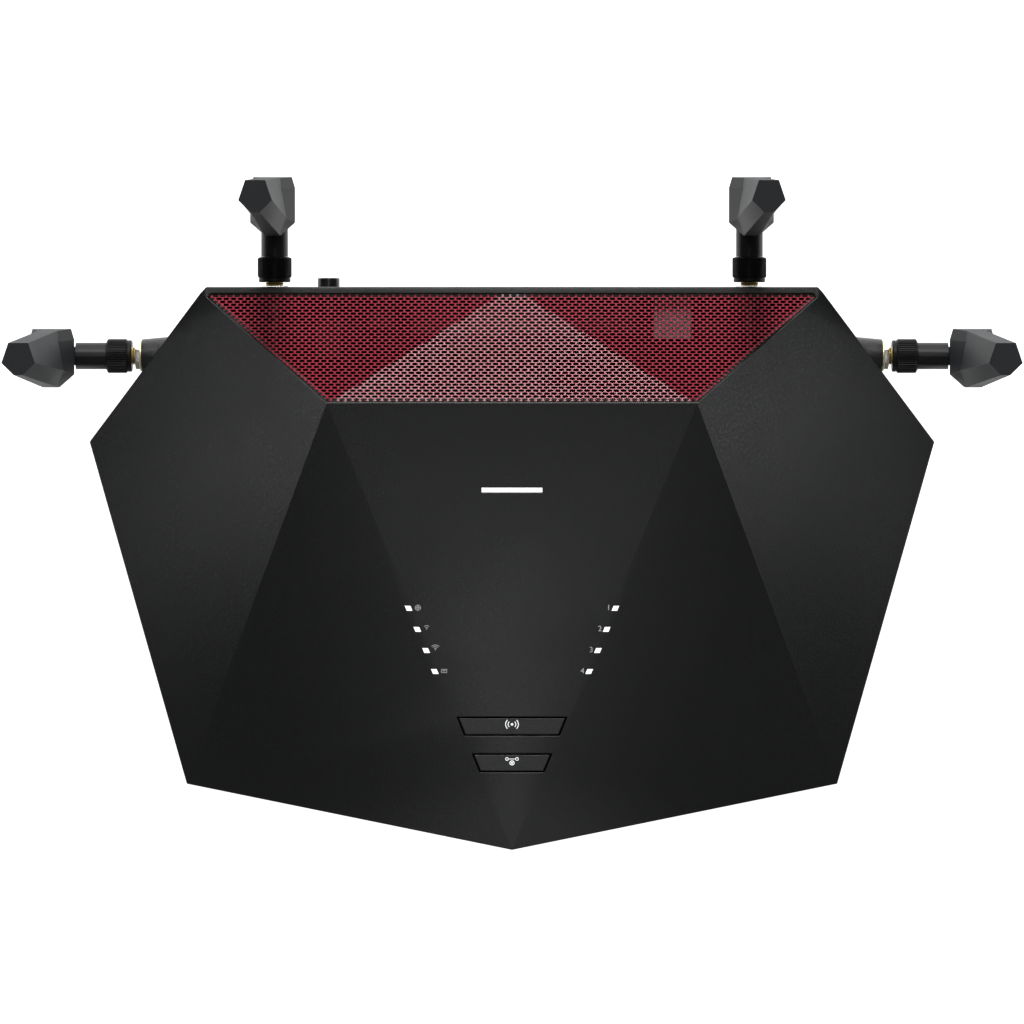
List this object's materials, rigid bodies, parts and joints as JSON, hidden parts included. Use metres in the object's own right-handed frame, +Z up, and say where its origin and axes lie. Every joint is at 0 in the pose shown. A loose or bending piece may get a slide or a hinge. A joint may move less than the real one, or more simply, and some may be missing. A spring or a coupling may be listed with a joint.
{
  "type": "wireless router",
  "caption": "Wireless router with a low faceted black casing, a red perforated vent grille, front buttons and upright faceted antennas on swivel hinges.",
  "frame": {"origin": "on the table under the middle of the whole object, antennas upright", "axes": "+X to the right seen from the front, +Y to the rear where the sockets are, +Z up"},
  "size_m": [0.335, 0.2364, 0.167],
  "materials": {
    "casing": "fine textured black plastic",
    "tray": "fine textured black plastic",
    "panel": "matt black plastic",
    "grille": "red painted perforated sheet",
    "lens": "milky white light pipe",
    "button": "fine textured black plastic",
    "blade": "dark grey satin plastic",
    "barrel": "black plastic",
    "nut": "knurled black plastic over metal",
    "brass": "bare brass",
    "nickel": "nickel plated",
    "steel": "zinc plated steel",
    "copper": "copper strip",
    "circuit": "glass fibre board with solder mask",
    "sink": "extruded aluminium",
    "pad": "soft thermal pad",
    "shield": "tinned steel",
    "socket_metal": "stamped steel shell",
    "socket_plastic": "black moulding",
    "internet": "yellow moulding",
    "led": "white diode package",
    "foot": "soft black rubber",
    "lead": "thin coaxial lead"
  },
  "bodies": {
    "router": {"board_screws": "steel", "bottom_tray": "tray", "case_screws": "steel", "connector_nuts": "nickel", "connector_washers": "brass", "heat_sink": "sink", "indicator_leds": "led", "indicator_windows": "lens", "internet_socket": "internet", "lan_sockets": "socket_plastic", "left_antenna_lead": "lead", "left_antenna_plug": "brass", "left_antenna_socket": "brass", "main_board": "circuit", "power_inlet": "socket_plastic", "power_switch": "socket_plastic", "rear_left_antenna_lead": "lead", "rear_left_antenna_plug": "brass", "rear_left_antenna_socket": "brass", "rear_panel": "panel", "rear_right_antenna_lead": "lead", "rear_right_antenna_plug": "brass", "rear_right_antenna_socket": "brass", "right_antenna_lead": "lead", "right_antenna_plug": "brass", "right_antenna_socket": "brass", "rubber_feet": "foot", "shield_cans": "shield", "status_bar_lens": "lens", "thermal_pads": "pad", "top_cover": "casing", "touch_switches": "socket_plastic", "usb_socket": "socket_metal", "vent_grille": "grille"},
    "left_antenna_nut": {"left_antenna_nut": "nut"},
    "left_antenna_barrel": {"left_antenna_barrel": "barrel"},
    "left_antenna_blade": {"left_antenna_blade": "blade", "left_antenna_hinge_pin": "steel", "left_antenna_radiator": "copper"},
    "right_antenna_nut": {"right_antenna_nut": "nut"},
    "right_antenna_barrel": {"right_antenna_barrel": "barrel"},
    "right_antenna_blade": {"right_antenna_blade": "blade", "right_antenna_hinge_pin": "steel", "right_antenna_radiator": "copper"},
    "rear_left_antenna_nut": {"rear_left_antenna_nut": "nut"},
    "rear_left_antenna_barrel": {"rear_left_antenna_barrel": "barrel"},
    "rear_left_antenna_blade": {"rear_left_antenna_blade": "blade", "rear_left_antenna_hinge_pin": "steel", "rear_left_antenna_radiator": "copper"},
    "rear_right_antenna_nut": {"rear_right_antenna_nut": "nut"},
    "rear_right_antenna_barrel": {"rear_right_antenna_barrel": "barrel"},
    "rear_right_antenna_blade": {"rear_right_antenna_blade": "blade", "rear_right_antenna_hinge_pin": "steel", "rear_right_antenna_radiator": "copper"},
    "wifi_button": {"wifi_button": "button"},
    "sync_button": {"sync_button": "button"},
    "power_button": {"power_button": "button"},
    "reset_button": {"reset_button": "button"}
  },
  "joints": [
    {"name": "left_antenna_nut_turn", "type": "hinge", "parent": "router", "child": "left_antenna_nut", "pos_m": [-0.1597, 0.0561, 0.027], "axis": [-1, 0, 0], "continuous": true},
    {"name": "left_antenna_swivel", "type": "hinge", "parent": "router", "child": "left_antenna_barrel", "pos_m": [-0.1597, 0.0561, 0.027], "axis": [-1, 0, 0], "range_deg": [-90, 90]},
    {"name": "left_antenna_fold", "type": "hinge", "parent": "left_antenna_barrel", "child": "left_antenna_blade", "pos_m": [-0.1597, 0.0561, 0.027], "axis": [0, -1, 0], "range_deg": [0, 90]},
    {"name": "right_antenna_nut_turn", "type": "hinge", "parent": "router", "child": "right_antenna_nut", "pos_m": [0.1597, 0.0561, 0.027], "axis": [1, 0, 0], "continuous": true},
    {"name": "right_antenna_swivel", "type": "hinge", "parent": "router", "child": "right_antenna_barrel", "pos_m": [0.1597, 0.0561, 0.027], "axis": [1, 0, 0], "range_deg": [-90, 90]},
    {"name": "right_antenna_fold", "type": "hinge", "parent": "right_antenna_barrel", "child": "right_antenna_blade", "pos_m": [0.1597, 0.0561, 0.027], "axis": [0, 1, 0], "range_deg": [0, 90]},
    {"name": "rear_left_antenna_nut_turn", "type": "hinge", "parent": "router", "child": "rear_left_antenna_nut", "pos_m": [-0.083, 0.1087, 0.027], "axis": [0, 1, 0], "continuous": true},
    {"name": "rear_left_antenna_swivel", "type": "hinge", "parent": "router", "child": "rear_left_antenna_barrel", "pos_m": [-0.083, 0.1087, 0.027], "axis": [0, 1, 0], "range_deg": [-90, 90]},
    {"name": "rear_left_antenna_fold", "type": "hinge", "parent": "rear_left_antenna_barrel", "child": "rear_left_antenna_blade", "pos_m": [-0.083, 0.1087, 0.027], "axis": [-1, 0, 0], "range_deg": [0, 90]},
    {"name": "rear_right_antenna_nut_turn", "type": "hinge", "parent": "router", "child": "rear_right_antenna_nut", "pos_m": [0.083, 0.1087, 0.027], "axis": [0, 1, 0], "continuous": true},
    {"name": "rear_right_antenna_swivel", "type": "hinge", "parent": "router", "child": "rear_right_antenna_barrel", "pos_m": [0.083, 0.1087, 0.027], "axis": [0, 1, 0], "range_deg": [-90, 90]},
    {"name": "rear_right_antenna_fold", "type": "hinge", "parent": "rear_right_antenna_barrel", "child": "rear_right_antenna_blade", "pos_m": [0.083, 0.1087, 0.027], "axis": [-1, 0, 0], "range_deg": [0, 90]},
    {"name": "wifi_button_press", "type": "slide", "parent": "router", "child": "wifi_button", "axis": [0, 0, -1], "range_m": [0, 0.0008], "stiffness_N_per_m": 600},
    {"name": "sync_button_press", "type": "slide", "parent": "router", "child": "sync_button", "axis": [0, 0, -1], "range_m": [0, 0.0008], "stiffness_N_per_m": 600},
    {"name": "power_button_press", "type": "slide", "parent": "router", "child": "power_button", "axis": [0, -1, 0], "range_m": [0, 0.0025], "stiffness_N_per_m": 500},
    {"name": "reset_button_press", "type": "slide", "parent": "router", "child": "reset_button", "axis": [0, -1, 0], "range_m": [0, 0.0003], "stiffness_N_per_m": 800}
  ]
}
